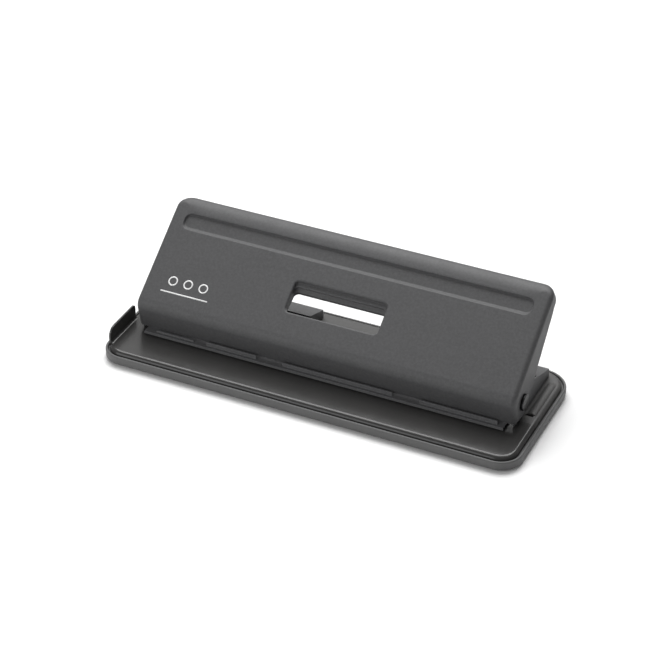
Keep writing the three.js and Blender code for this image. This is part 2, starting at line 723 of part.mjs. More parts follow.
function handleShell() {
  const rearEnd = [HANDLE_DEPTH, HANDLE_REAR_FLANGE];
  const outside = outline([
    ...handleTop(0, [LIP_ALONG, LIP_DEEP], rearEnd),
    ...FLANGE_EDGE.map((point) => onHandle(...point)),
    ...arc(HINGE_Y, HINGE_Z, FLANGE_EAR_RADIUS, -38, -93, 6),
  ]);
  const deep = DEEPER_THAN_HANDLE;
  const inset = SHEET_METAL;
  const inside = outline(handleTop(inset, onLip(inset, deep), [HANDLE_DEPTH - inset, deep]));
  const half = HANDLE_HALF_LENGTH;
  const above = -20;
  const outer = alongX(outside, -half, half).intersect(throughPlate(handlePlan(0), above, deep));
  const inner = alongX(inside, inset - half, half - inset).intersect(
    throughPlate(handlePlan(inset), above, 2 * deep),
  );
  const recessPlan = roundedRectangle(
    -RECESS_HALF_LENGTH,
    RECESS_HALF_LENGTH,
    RECESS_FRONT,
    RECESS_REAR,
    [RECESS_CORNER, RECESS_CORNER],
  );
  const pinHole = crossBar(-half - 1, half + 1, HINGE_Y, HINGE_Z, HINGE_RADIUS + GAP);
  const shell = cut(outer.subtract(inner).add(slotCollar()), [
    throughPlate(slotPlan(0), above, deep),
    throughPlate(recessPlan, above, RECESS_DEPTH),
    pinHole,
  ]);
  return shell.add(slotRearWall());
}

// The bar spot-welded under the plate, whose foot lies over the three punch pins.
function pressBar() {
  const seat = SHEET_METAL + GAP;
  const sheet = PRESS_BAR_SHEET;
  const [weldFront, weldRear] = [8, 18.2];
  const slope = Math.tan(PAD_TILT);
  const padHeight = (y) => PIN_TOP + PAD_CLEARANCE + (y - PUNCH_Y) * slope;
  const rise = sheet / Math.cos(PAD_TILT);
  const webRear = onHandle(weldRear, seat)[0];
  const webFront = webRear - sheet;
  const footRear = PUNCH_Y + 1;
  const under = seat + sheet;
  const webAlong = (webFront - HANDLE_BEND_Y - under * TILT_SIN) / TILT_COS;
  const section = outline([
    onHandle(weldFront, seat),
    onHandle(weldRear, seat),
    [webRear, padHeight(webRear) + rise],
    [footRear, padHeight(footRear) + rise],
    [footRear, padHeight(footRear)],
    [webFront, padHeight(webFront)],
    onHandle(webAlong, under),
    onHandle(weldFront, under),
  ]);
  return alongX(section, -PRESS_BAR_HALF_LENGTH, PRESS_BAR_HALF_LENGTH);
}

// ---- assembly -----------------------------------------------------------------------------
const group = new THREE.Group();
// Y = 0 above lies a little in front of the footprint's middle, which is the object's origin.
group.position.y = -(TRAY_FRONT_Y + TRAY_REAR_Y) / 2;
group.add(part("chip_tray", chipTray(), BLACK_PLASTIC));
for (const [name, x, y] of footPlaces) {
  group.add(part("foot_" + name, foot(x, y), RUBBER));
}
group.add(part("base_plate", basePlate(), POWDER_COAT));
group.add(part("paper_guide", paperGuide(), POWDER_COAT));
for (const [name, side] of ENDS) {
  group.add(part("spacer_" + name, spacer(side), ZINC_STEEL));
  group.add(part("back_frame_" + name, backFrame(side), POWDER_COAT));
  group.add(part("hinge_pin_" + name, hingePin(side), ZINC_STEEL));
  group.add(part("hinge_clip_" + name, hingeClip(side), SPRING_STEEL));
}
for (const [name, x, y] of spacerRivets) {
  group.add(part("guide_rivet_" + name, rivet(x, y, BASE_UNDERSIDE, GUIDE_TOP), ZINC_STEEL));
}
for (const [name, x] of PUNCHES) {
  group.add(part("punch_bracket_" + name, punchBracket(x), ZINC_STEEL));
  group.add(part("punch_pin_" + name, punchPin(x), TOOL_STEEL));
  group.add(part("punch_clip_" + name, punchClip(x), SPRING_STEEL));
  group.add(part("punch_spring_" + name, punchSpring(x), SPRING_STEEL));
}
for (const [name, x, y] of bracketRivets) {
  const seat = BRACKET_BOTTOM + SHEET_METAL;
  group.add(part("bracket_rivet_" + name, rivet(x, y, GUIDE_BOTTOM, seat), ZINC_STEEL));
}
group.add(part("handle_shell", handleShell(), POWDER_COAT));
group.add(part("press_bar", pressBar(), ZINC_STEEL));

export default group;
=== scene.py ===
"""The looks of the three hole punch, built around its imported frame. Metres, in the frame's own axes."""
import functools
import math

import bmesh
import bpy
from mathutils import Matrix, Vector


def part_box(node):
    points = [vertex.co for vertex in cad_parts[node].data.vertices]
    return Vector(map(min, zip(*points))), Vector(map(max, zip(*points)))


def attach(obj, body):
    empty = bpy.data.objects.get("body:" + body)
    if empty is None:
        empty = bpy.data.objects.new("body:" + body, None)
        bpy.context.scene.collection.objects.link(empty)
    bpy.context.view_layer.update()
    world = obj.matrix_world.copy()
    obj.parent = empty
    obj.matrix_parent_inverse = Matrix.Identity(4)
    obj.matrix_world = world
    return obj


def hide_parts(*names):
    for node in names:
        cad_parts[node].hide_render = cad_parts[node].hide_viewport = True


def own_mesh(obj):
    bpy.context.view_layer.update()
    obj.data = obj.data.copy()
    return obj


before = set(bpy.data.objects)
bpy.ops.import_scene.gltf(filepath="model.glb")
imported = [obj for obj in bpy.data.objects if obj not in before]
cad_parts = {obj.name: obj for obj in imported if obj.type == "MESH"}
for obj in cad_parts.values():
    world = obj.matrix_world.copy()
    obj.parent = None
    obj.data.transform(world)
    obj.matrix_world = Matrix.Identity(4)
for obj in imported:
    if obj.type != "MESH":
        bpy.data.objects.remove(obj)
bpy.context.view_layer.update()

MM = 0.001
PUNCHES = ("left", "middle", "right")
ENDS = (("left", -1), ("right", 1))
QUARTER_TURN = (0.4, 0.8, 1.2, 1.57)

# ---- sizes, as in the CAD source ------------------------------------------------------------
SHEET_METAL = 1.2 * MM
TRAY_LOW, TRAY_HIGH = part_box("chip_tray")
TRAY_FRONT_CORNER = 14.8 * MM
TRAY_REAR_CORNER = 19 * MM
TRAY_WALL = 1.8 * MM
TRAY_FLOOR = 1.2 * MM
TRAY_LEDGE = 2.8 * MM
TRAY_LEDGE_TOP = 5.4 * MM
FOOT_HOLE_RADIUS = 2.8 * MM
SKIRT_INSET = 2.8 * MM
SKIRT_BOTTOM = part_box("base_plate")[0].z
BASE_TOP = 8.8 * MM
BASE_EDGE = 3 * MM
NOTCH_INNER_X, NOTCH_OUTER_X = 131.2 * MM, 136.4 * MM
NOTCH_FRONT, NOTCH_REAR = -1.95 * MM, -0.15 * MM
BEAD_REAR = 37.45 * MM
STOP_INNER_X = -139.7 * MM
STOP_FRONT, STOP_REAR = -42.05 * MM, -9.05 * MM
STOP_FRONT_CORNER = 6 * MM
STOP_REAR_CORNER = 2.4 * MM
STOP_FOOT = 1.8 * MM
STOP_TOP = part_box("base_plate")[1].z
PUNCH_Y = 2.45 * MM
HOLE_PITCH = 108 * MM
DIE_RADIUS = 3.7 * MM

HINGE = Vector((0, -7.55 * MM, 22.5 * MM))
HINGE_HOLE_RADIUS = 2.8 * MM
HALF_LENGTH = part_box("handle_shell")[1].x
TILT = math.radians(35.26)
BEND = Vector((0, -23.21 * MM, 30.78 * MM))
LIP_BOTTOM = Vector((0, -19.05 * MM, 12.3 * MM))
DEPTH = 82.3 * MM
REAR_FLANGE = 9 * MM
HANDLE_CORNER = 9.5 * MM
BEND_RADIUS = 8 * MM
ROLL_DEPTH = 6 * MM
ROLL_RUN = 11.5 * MM
FOLD_RADIUS = 3.2 * MM
EAR_RADIUS = 11 * MM
FLANGE_EDGE = ((70.4 * MM, 10.4 * MM), (65.6 * MM, 12.2 * MM), (34.1 * MM, 19.6 * MM))
FLANGE_REAR_DEPTH = 10 * MM
WINDOW = (-32 * MM, 32 * MM, 20.7 * MM, 42.5 * MM)
WINDOW_CORNER = 3 * MM
RECESS = (-121.5 * MM, 121.5 * MM, 57.5 * MM, 69.3 * MM)
RECESS_CORNER = 4.5 * MM
RECESS_DEPTH = 1.7 * MM
RECESS_FRONT_SLOPE = 3 * MM
RECESS_SIDE_SLOPE = 1.1 * MM
WINDOW_ROLL = 1.3 * MM
COLLAR_SIDES = 6.2 * MM
COLLAR_FRONT = 2.4 * MM
COLLAR_REAR = 7.3 * MM
# The collar's stepped rear wall: how far forward and how deep each of its corners lies, in millimetres.
COLLAR_STEPS = ((0.2, 1.9), (0.5, 2.2), (3.0, 2.4), (3.3, 2.7), (3.3, 3.8), (3.6, 4.1))
COLLAR_STEPS += ((5.9, 4.8), (6.2, 5.2), (6.3, 7.3))

PIN_SHANK = 2.5 * MM
PIN_GROOVE_RADIUS = 2 * MM
PIN_GROOVE_START = 1.6 * MM
PIN_GROOVE_WIDTH = 1.1 * MM
PIN_HEAD = 5.5 * MM
PIN_HEAD_HEIGHT = 2 * MM
PIN_DOME_WIDTH = 0.7 * MM
PIN_DOME_START = 0.9 * MM
PIN_DOME_HEIGHT = 0.6 * MM
SPRING_WIRE = 0.8 * MM
SPRING_RADIUS = 5 * MM
SPRING_TURNS = 4.5
SPRING_FLAT_TURNS = 0.7

# ---- camera and studio --------------------------------------------------------------------
VIEW_AZIMUTH = math.radians(25.2)
VIEW_ELEVATION = math.radians(34.16)
VIEW_DISTANCE = 1.423
VIEW_TARGET = Vector((1.35 * MM, -1.55 * MM, 30.8 * MM))
LENS_MM = 120.9
SENSOR_MM = 36
# Each light: its name, place, target, size and power.
STUDIO_LIGHTS = (
    ("overhead", (-0.3, 0.7, 1.4), (0, 0, 0), (1.5, 1.1), 33),
    ("rear", (-0.56, 1.2, 0.9), (0, 0, 0.03), (1.8, 1.2), 5),
    ("fill", (-0.7, -1.2, 0.6), (0, 0, 0.03), (1.2, 0.8), 9),
)
ROOM_LIGHT = 0.25
FLOOR_REACH = 6


def make_camera():
    back = Vector((
        math.sin(VIEW_AZIMUTH) * math.cos(VIEW_ELEVATION),
        -math.cos(VIEW_AZIMUTH) * math.cos(VIEW_ELEVATION),
        math.sin(VIEW_ELEVATION),
    ))
    data = bpy.data.cameras.new("camera")
    data.lens = LENS_MM
    data.sensor_width = SENSOR_MM
    camera = bpy.data.objects.new("camera", data)
    camera.location = VIEW_TARGET + back * VIEW_DISTANCE
    camera.rotation_euler = (-back).to_track_quat("-Z", "Y").to_euler()
    bpy.context.scene.collection.objects.link(camera)
    bpy.context.scene.camera = camera


# ---- materials ----------------------------------------------------------------------------
class Nodes:
    """A small helper that adds and links shader nodes of one material."""

    def __init__(self, name):
        self.material = bpy.data.materials.new(name)
        self.material.use_nodes = True
        self.tree = self.material.node_tree
        self.shader = self.tree.nodes["Principled BSDF"]
        self.place = self.add("ShaderNodeTexCoord").outputs["Object"]

    def add(self, kind, **inputs):
        node = self.tree.nodes.new(kind)
        for key, value in inputs.items():
            self.put(node.inputs[key.replace("_", " ")], value)
        return node

    def put(self, socket, value):
        if isinstance(value, bpy.types.NodeSocket):
            self.tree.links.new(value, socket)
        else:
            socket.default_value = value

    def noise(self, size, detail=2.0, stretch=None):
        """Noise whose features are about size metres across, from 0 to 1."""
        place = self.place
        if stretch:
            place = self.add("ShaderNodeMapping", Vector=place, Scale=stretch).outputs[0]
        return self.add("ShaderNodeTexNoise", Vector=place, Scale=1 / size, Detail=detail).outputs["Fac"]

    def between(self, fac, low, high):
        """fac from 0 to 1 as a number from low to high."""
        return self.add("ShaderNodeMapRange", Value=fac, To_Min=low, To_Max=high).outputs[0]

    def band(self, fac, start, end):
        """0 where fac is under start, 1 over end."""
        return self.add("ShaderNodeMapRange", Value=fac, From_Min=start, From_Max=end).outputs[0]

    def times(self, a, b):
        node = self.add("ShaderNodeMath")
        node.operation = "MULTIPLY"
        self.put(node.inputs[0], a)
        self.put(node.inputs[1], b)
        return node.outputs[0]

    def mix(self, fac, a, b):
        node = self.add("ShaderNodeMix")
        node.data_type = "RGBA"
        self.put(node.inputs["Factor"], fac)
        for key, value in (("A", a), ("B", b)):
            socket = [s for s in node.inputs if s.name == key and s.type == "RGBA"][0]
            self.put(socket, value)
        return [s for s in node.outputs if s.type == "RGBA"][0]

    def edges(self, radius):
        """1 on edges sharper than radius, 0 on flat faces."""
        bevel = self.add("ShaderNodeBevel", Radius=radius)
        bevel.samples = 6
        normal = self.add("ShaderNodeNewGeometry").outputs["Normal"]
        dot = self.add("ShaderNodeVectorMath")
        dot.operation = "DOT_PRODUCT"
        self.put(dot.inputs[0], bevel.outputs[0])
        self.put(dot.inputs[1], normal)
        return self.band(dot.outputs["Value"], 0.995, 0.90)

    def bump(self, height, depth, strength=1.0, normal=None):
        node = self.add("ShaderNodeBump", Height=height, Distance=depth, Strength=strength)
        if normal is not None:
            self.put(node.inputs["Normal"], normal)
        return node.outputs[0]

    def finish(self, **sockets):
        for key, value in sockets.items():
            self.put(self.shader.inputs[key.replace("_", " ")], value)
        return self.material


def grey(value, tint=(1.0, 1.0, 1.0)):
    return tuple(value * t for t in tint) + (1.0,)


def powder_coat(name, painted_light_gain=1.0):
    """Satin charcoal coat on steel: orange peel, faint mottling, worn edges. lift lightens it all over:
    painted light for a part that sits in shade.
    """
    n = Nodes(name)
    cool_tint_with_light_gain = (1.0 * painted_light_gain, 1.0 * painted_light_gain, 1.03 * painted_light_gain)
    mottled = n.mix(n.noise(0.022, 3), grey(0.045, cool_tint_with_light_gain), grey(0.058, cool_tint_with_light_gain))
    flecked = n.mix(n.band(n.noise(0.0016, 2), 0.35, 0.75), mottled, grey(0.068, cool_tint_with_light_gain))
    speckled = n.mix(n.times(n.noise(0.0006, 1), 0.35), flecked, grey(0.09, cool_tint_with_light_gain))
    rubbed = n.times(n.edges(0.7 * MM), n.between(n.noise(0.006, 3), 0.1, 0.6))
    colour = n.mix(rubbed, speckled, grey(0.14, cool_tint_with_light_gain))
    peel = n.bump(n.noise(0.0011, 2), 0.05 * MM, 0.55)
    fine = n.bump(n.noise(0.00035, 1), 0.02 * MM, 0.4, peel)
    roughness = n.between(n.noise(0.012, 3), 0.48, 0.6)
    return n.finish(Base_Color=colour, Roughness=roughness, Normal=fine, Specular_IOR_Level=0.4)


def gloss_coat():
    """The same coat on the base: smooth and shiny where the sheets slide, satin from the hinge back."""
    n = Nodes("gloss_coat")
    warm = (1.02, 1.0, 0.98)
    y = n.add("ShaderNodeSeparateXYZ", Vector=n.place).outputs["Y"]
    satin = n.band(y, -12 * MM, 2 * MM)
    polished = n.mix(n.noise(0.03, 3), grey(0.03, warm), grey(0.04, warm))
    mottled = n.mix(satin, polished, n.mix(n.noise(0.0016, 2), grey(0.05, warm), grey(0.068, warm)))
    rubbed = n.times(n.edges(0.7 * MM), n.between(n.noise(0.006, 3), 0.1, 0.5))
    colour = n.mix(rubbed, mottled, grey(0.1, warm))
    peel = n.bump(n.noise(0.0014, 1), 0.02 * MM, 0.2)
    roughness = n.between(satin, n.between(n.noise(0.01, 3), 0.17, 0.25), 0.5)
    return n.finish(Base_Color=colour, Roughness=roughness, Normal=peel, Specular_IOR_Level=0.34)


def tray_plastic():
    """Moulded black-grey plastic with a fine spark-eroded grain."""
    n = Nodes("tray_plastic")
    colour = n.mix(n.noise(0.03, 3), grey(0.076), grey(0.096))
    scuffed = n.mix(n.times(n.edges(0.8 * MM), n.noise(0.004, 3)), colour, grey(0.16))
    grain = n.bump(n.noise(0.0007, 3), 0.05 * MM, 0.5)
    roughness = n.between(n.noise(0.01, 3), 0.45, 0.6)
    return n.finish(Base_Color=scuffed, Roughness=roughness, Normal=grain)


def steel(name, base, low, high, stretch, tint=(1.0, 1.0, 1.0)):
    """Metal with drawn or turned lines along the direction that stretch leaves long."""
    n = Nodes(name)
    lines = n.noise(0.0008, 4, stretch)
    cloudy = n.mix(n.noise(0.008, 3), grey(base * 0.85, tint), grey(base * 1.1, tint))
    colour = n.mix(n.times(lines, 0.25), cloudy, grey(base * 0.6, tint))
    roughness = n.between(lines, low, high)
    return n.finish(
        Base_Color=colour, Roughness=roughness, Normal=n.bump(lines, 0.01 * MM, 0.35), Metallic=1.0
    )


def rubber():
    n = Nodes("foot_rubber")
    colour = n.mix(n.noise(0.004, 3), grey(0.022), grey(0.034))
    roughness = n.between(n.noise(0.003, 2), 0.75, 0.92)
    return n.finish(
        Base_Color=colour, Roughness=roughness, Normal=n.bump(n.noise(0.0005, 2), 0.04 * MM, 0.5)
    )


def white_print():
    """Pad-printed white ink, thin enough to let a little of the coat through."""
    n = Nodes("white_print")
    colour = n.mix(n.band(n.noise(0.0008, 3), 0.62, 0.8), grey(0.75), grey(0.5))
    roughness = n.between(n.noise(0.002, 2), 0.4, 0.55)
    return n.finish(
        Base_Color=colour, Roughness=roughness, Normal=n.bump(n.noise(0.0011, 2), 0.04 * MM, 0.4)
    )


POWDER_COAT = powder_coat("powder_coat")
# The guide's coat is the same coat lightened 1.6 times: painted light on tabs that sit in the lever's
# shadow.
LIT_GUIDE_COAT = powder_coat("guide_coat_painted_light", 1.6)
GLOSS_COAT = gloss_coat()
TRAY_PLASTIC = tray_plastic()
PLATED = steel("plated_steel", 0.5, 0.28, 0.42, (1, 1, 0.15), (1.0, 0.99, 0.95))
HINGE_STEEL = steel("hinge_steel", 0.05, 0.28, 0.4, (0.2, 1, 1))
TOOL_STEEL = steel("tool_steel", 0.6, 0.14, 0.24, (0.2, 0.2, 1))
SPRING_STEEL = steel("spring_steel", 0.42, 0.2, 0.34, (1, 1, 0.3))
RUBBER = rubber()
WHITE_PRINT = white_print()


# ---- mesh helpers -------------------------------------------------------------------------
def add_piece(name, mesh, material, body, replaced=()):
    """A mesh as a piece of the object, riding on a body."""
    mesh.materials.clear()
    mesh.materials.append(material)
    piece = bpy.data.objects.new(name, mesh)
    bpy.context.scene.collection.objects.link(piece)
    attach(piece, body)
    if replaced:
        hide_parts(*replaced)
    return piece


def smooth(shape):
    for face in shape.faces:
        face.smooth = True


def to_mesh(name, shape):
    smooth(shape)
    mesh = bpy.data.meshes.new(name)
    shape.to_mesh(mesh)
    shape.free()
    return mesh


def outwards(shape, probe, direction):
    """Turns every face the same way, so that the face nearest probe looks along direction."""
    bmesh.ops.recalc_face_normals(shape, faces=shape.faces)
    shape.normal_update()
    nearest = min(shape.faces, key=lambda face: (face.calc_center_median() - probe).length)
    if nearest.normal.dot(direction) < 0:
        bmesh.ops.reverse_faces(shape, faces=shape.faces)


def sheet_metal(piece, thickness):
    """Gives a surface its sheet thickness, on the side away from its normals."""
    solidify = piece.modifiers.new("thickness", "SOLIDIFY")
    solidify.thickness = thickness
    solidify.offset = -1
    solidify.use_even_offset = True


def rounded_edges(piece, width, segments=2, angle=40):
    bevel = piece.modifiers.new("rounded_edges", "BEVEL")
    bevel.width = width
    bevel.segments = segments
    bevel.limit_method = "ANGLE"
    bevel.angle_limit = math.radians(angle)
    bevel.use_clamp_overlap = True
    normals = piece.modifiers.new("face_normals", "WEIGHTED_NORMAL")
    normals.keep_sharp = True


def loop(shape, points):
    return [shape.verts.new(point) for point in points]


def strip(shape, first, second, closed=True):
    """Faces between two rows of as many vertices."""
    count = len(first)
    for i in range(count if closed else count - 1):
        j = (i + 1) % count
        shape.faces.new((first[i], first[j], second[j], second[i]))


def strips(shape, loops, closed=True):
    for first, second in zip(loops, loops[1:]):
        strip(shape, first, second, closed)


def edge_between(shape, a, b):
    return shape.edges.get((a, b)) or shape.edges.new((a, b))


def fill(shape, rings):
    """A flat face inside the first ring of vertices and outside the others."""
    edges = []
    for ring in rings:
        for i, vertex in enumerate(ring):
            edges.append(edge_between(shape, vertex, ring[(i + 1) % len(ring)]))
    bmesh.ops.triangle_fill(shape, use_beauty=True, use_dissolve=False, edges=edges)


def arc(centre, radius, start, end, steps):
    """Points of an arc in a plane, by angles in degrees."""
    turns = [math.radians(start + (end - start) * i / steps) for i in range(steps + 1)]
    return [(centre[0] + radius * math.cos(t), centre[1] + radius * math.sin(t)) for t in turns]


def rounded_rectangle(box, corner, margin=0.0, steps=8):
    """The outline of a rectangle with round corners, moved outwards by margin."""
    x0, x1, y0, y1 = box
    radius = corner + margin
    centres = ((x1 - corner, y0 + corner), (x1 - corner, y1 - corner))
    centres += ((x0 + corner, y1 - corner), (x0 + corner, y0 + corner))
    points = []
    for turn, centre in enumerate(centres):
        points += arc(centre, radius, 90 * turn - 90, 90 * turn, steps)
    return points


def circle(centre, radius, steps=32):
    return arc(centre, radius, 0, 360 * (steps - 1) / steps, steps - 1)


def upright(points, z):
    return [Vector((x, y, z)) for x, y in points]


def lathe(profile, base, axis, side, steps=48):
    """A turned solid: profile gives (radius, distance along axis), from axis to axis."""
    shape = bmesh.new()
    other = axis.cross(side)
    rings = []
    for radius, travel in profile:
        middle = base + axis * travel
        if radius == 0:
            rings.append([shape.verts.new(middle)])
        else:
            ring = circle((0, 0), radius, steps)
            rings.append(loop(shape, [middle + side * x + other * y for x, y in ring]))
    for first, second in zip(rings, rings[1:]):
        if len(first) == 1 or len(second) == 1:
            point, ring = (first[0], second) if len(first) == 1 else (second[0], first)
            for i, vertex in enumerate(ring):
                shape.faces.new((point, vertex, ring[(i + 1) % len(ring)]))
        else:
            strip(shape, first, second)
    bmesh.ops.recalc_face_normals(shape, faces=shape.faces)
    return shape


def refined(node, material, body, edge, segments=2):
    """A CAD node's own shape with its flat faces merged and its edges rounded."""
    shape = bmesh.new()
    shape.from_mesh(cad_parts[node].data)
    bmesh.ops.remove_doubles(shape, verts=shape.verts, dist=0.002 * MM)
    flat = math.radians(1)
    bmesh.ops.dissolve_limit(shape, angle_limit=flat, verts=shape.verts, edges=shape.edges)
    piece = add_piece(node + "_finished", to_mesh(node, shape), material, body, (node,))
    rounded_edges(piece, edge, segments)
    return piece


# ---- handle -------------------------------------------------------------------------------
ALONG = Vector((0, math.cos(TILT), math.sin(TILT)))
UPWARD = Vector((0, -math.sin(TILT), math.cos(TILT)))
ACROSS = Vector((1, 0, 0))


def on_handle(x, along, deep=0.0):
    return BEND + ACROSS * x + ALONG * along - UPWARD * deep


def front_stations():
    """Points and outward normals of the handle's outer face, from the lip's edge up round the bend."""
    lip = LIP_BOTTOM - BEND
    lip_direction = lip.normalized()
    lip_normal = Vector((0, lip_direction.z, -lip_direction.y))
    half = lip_direction.angle(ALONG) / 2
    centre = BEND + (lip_direction + ALONG).normalized() * BEND_RADIUS / math.sin(half)
    stations = [(LIP_BOTTOM, lip_normal)]
    steps = 12
    for i in range(steps + 1):
        normal = lip_normal.slerp(UPWARD, i / steps)
        stations.append((centre + normal * BEND_RADIUS, normal))
    return stations


def fold(shape, base, normal, outward, run, drop, steps=9):
    """The vertices of an oval fold, from its flat side at base to the wall it turns down into."""
    row = []
    for i in range(steps + 1):
        turn = math.pi / 2 * i / steps
        row.append(shape.verts.new(
            base + outward * run * math.sin(turn) - normal * drop * (1 - math.cos(turn))
        ))
    return row


def handle_sides(shape, side, stations, corner_start):
    """One end's folds along the lip, the bend and the plate."""
    outward = ACROSS * side
    inner = side * (HALF_LENGTH - FOLD_RADIUS)
    bends = stations + [(on_handle(0, corner_start), UPWARD)]
    rows = [
        fold(shape, point + ACROSS * inner, normal, outward, FOLD_RADIUS, FOLD_RADIUS)
        for point, normal in bends
    ]
    strips(shape, rows, closed=False)
    return rows


def corner_rows(shape, side, first_row):
    """The folds and walls round a rear corner, from the end flange to the rear flange."""
    centre = (HALF_LENGTH - HANDLE_CORNER, DEPTH - HANDLE_CORNER)
    steps = 10
    rows = []
    for i in range(steps + 1):
        share = i / steps
        grown = eased(share, 0, 1)
        turn = math.pi / 2 * share
        run = FOLD_RADIUS + (HANDLE_CORNER - 0.1 * MM - FOLD_RADIUS) * grown
        drop = FOLD_RADIUS + (ROLL_DEPTH - FOLD_RADIUS) * grown
        depth = FLANGE_REAR_DEPTH + (REAR_FLANGE - FLANGE_REAR_DEPTH) * grown
        outward = ACROSS * side * math.cos(turn) + ALONG * math.sin(turn)
        flat = HANDLE_CORNER - run
        x = side * (centre[0] + flat * math.cos(turn))
        along = centre[1] + flat * math.sin(turn)
        row = first_row if i == 0 else fold(shape, on_handle(x, along), UPWARD, outward, run, drop)
        edge = row[-1].co - UPWARD * (depth - drop)
        rows.append(row + [shape.verts.new(edge)])
    rows += widening_roll(shape, side, run, drop, depth)
    strips(shape, rows, closed=False)
    return rows


def widening_roll(shape, side, run, drop, depth):
    """Rows past a rear corner, where the roll of the rear edge grows to its full width."""
    rows = []
    length = 14 * MM
    for share in (0.15, 0.35, 0.6, 0.8, 1):
        wide = run + (ROLL_RUN - run) * eased(share, 0, 1)
        x = side * (HALF_LENGTH - HANDLE_CORNER - share * length)
        row = fold(shape, on_handle(x, DEPTH - wide), UPWARD, ALONG, wide, drop)
        rows.append(row + [shape.verts.new(row[-1].co - UPWARD * (depth - drop))])
    return rows


def end_flange(shape, side, rows, rear_vertex):
    """The flat flange of one end, with the hole for its hinge pin."""
    x = side * HALF_LENGTH
    lower = [shape.verts.new(on_handle(x, along, deep)) for along, deep in FLANGE_EDGE]
    ear = arc((HINGE.y, HINGE.z), EAR_RADIUS, -38, -93, 10)
    lower += [shape.verts.new(Vector((x, y, z))) for y, z in ear]
    outline = [row[-1] for row in rows] + [rear_vertex] + lower
    hole = [Vector((x, y, z)) for y, z in circle((HINGE.y, HINGE.z), HINGE_HOLE_RADIUS, 24)]
    fill(shape, [outline, loop(shape, hole)])


def plan_loop(shape, box, corner, margin, depth):
    """A rounded rectangle on the handle's plate; depth is a number or a function of along."""
    points = rounded_rectangle(box, corner, margin)
    level = depth if callable(depth) else lambda along: depth
    return loop(shape, [on_handle(x, along, level(along)) for x, along in points])


def recess(shape):
    """The pressed palm recess: its front wall slopes softly, and its rear wall is steeper."""
    x0, x1, front, rear = RECESS
    loops = []
    for share in (0, 0.15, 0.3, 0.5, 0.7, 0.85, 1):
        depth = RECESS_DEPTH * eased(share, 0, 1)
        inwards = share * RECESS_SIDE_SLOPE
        box = (x0 + inwards, x1 - inwards, front + share * RECESS_FRONT_SLOPE, rear - inwards)
        loops.append(plan_loop(shape, box, RECESS_CORNER - share * 1.2 * MM, 0.4 * MM, depth))
    strips(shape, loops)
    shape.faces.new(loops[-1])
    return loops[0]


def eased(value, start, end):
    """0 up to start and 1 from end on, with a smooth rise between them."""
    share = min(max((value - start) / (end - start), 0), 1)
    return share * share * (3 - 2 * share)


def collar_depth(along, forward, deep):
    """How deep one row of the window's collar lies: shallow in front, deeper at the sides and behind."""
    front, rear = WINDOW[2:]
    back = rear - forward
    sides = COLLAR_FRONT + (COLLAR_SIDES - COLLAR_FRONT) * eased(along, front + 1 * MM, front + 4 * MM)
    least = WINDOW_ROLL * 1.05
    here = least + (sides - least) * deep / COLLAR_REAR
    return here + (deep - here) * eased(along, back - 5 * MM, back)


def window(shape):
    """The window's rolled rim, and the collar under it, whose rear wall comes forward in steps."""
    loops = []
    steps = 4
    for i in range(steps + 1):
        turn = math.pi / 2 * i / steps
        margin = WINDOW_ROLL * (1 - math.sin(turn))
        deep = WINDOW_ROLL * (1 - math.cos(turn))
        loops.append(plan_loop(shape, WINDOW, WINDOW_CORNER, margin, deep))
    x0, x1, front, rear = WINDOW
    for forward, deep in COLLAR_STEPS:
        box = (x0, x1, front, rear - forward * MM)
        level = functools.partial(collar_depth, forward=forward * MM, deep=deep * MM)
        loops.append(plan_loop(shape, box, WINDOW_CORNER, 0, level))
    strips(shape, loops)
    return loops[0]


def handle_shell():
    shape = bmesh.new()
    stations = front_stations()
    corner_start = DEPTH - HANDLE_CORNER
    left = handle_sides(shape, -1, stations, corner_start)
    right = handle_sides(shape, 1, stations, corner_start)
    flat_starts = [(a[0], b[0]) for a, b in zip(left, right)][: len(stations)]
    strips(shape, flat_starts, closed=False)
    left_corner = corner_rows(shape, -1, left[-1])
    right_corner = corner_rows(shape, 1, right[-1])
    strip(shape, left_corner[-1], right_corner[-1], closed=False)
    end_flange(shape, -1, left, left_corner[0][-1])
    end_flange(shape, 1, right, right_corner[0][-1])
    bend_end = len(stations) - 1
    border = [left[bend_end][0], right[bend_end][0]]
    border += [row[0] for row in right_corner]
    border += [row[0] for row in reversed(left_corner)]
    fill(shape, [border, recess(shape), window(shape)])
    outwards(shape, on_handle(0, 50 * MM), UPWARD)
    mesh = to_mesh("handle_shell", shape)
    piece = add_piece("handle_lever", mesh, POWDER_COAT, "handle", ("handle_shell",))
    sheet_metal(piece, SHEET_METAL)
    rounded_edges(piece, 0.25 * MM)
    return piece


def printed_rings():
    """A plain printed sign at the plate's left: three rings, for three holes, over a sheet's edge."""
    shape = bmesh.new()
    ink = 0.03 * MM
    rows = []
    along = 21 * MM
    for i in range(3):
        middle = (-112 + 11 * i) * MM
        rows.append([circle((middle, along), radius * MM) for radius in (3.3, 2.4)])
    line = (-118 * MM, -84 * MM, 12.6 * MM, 13.5 * MM)
    for outer, inner in rows:
        rings = [
            loop(shape, [on_handle(x, a, -height) for x, a in points])
            for points, height in ((outer, 0), (outer, ink), (inner, ink), (inner, 0))
        ]
        strips(shape, rings)
    low, high = [
        loop(shape, [on_handle(x, a, -height) for x, a in rounded_rectangle(line, 0.3 * MM, 0, 3)])
        for height in (0, ink)
    ]
    strip(shape, low, high)
    shape.faces.new(high)
    bmesh.ops.recalc_face_normals(shape, faces=shape.faces)
    mesh = to_mesh("handle_print", shape)
    add_piece("handle_print", mesh, WHITE_PRINT, "handle")


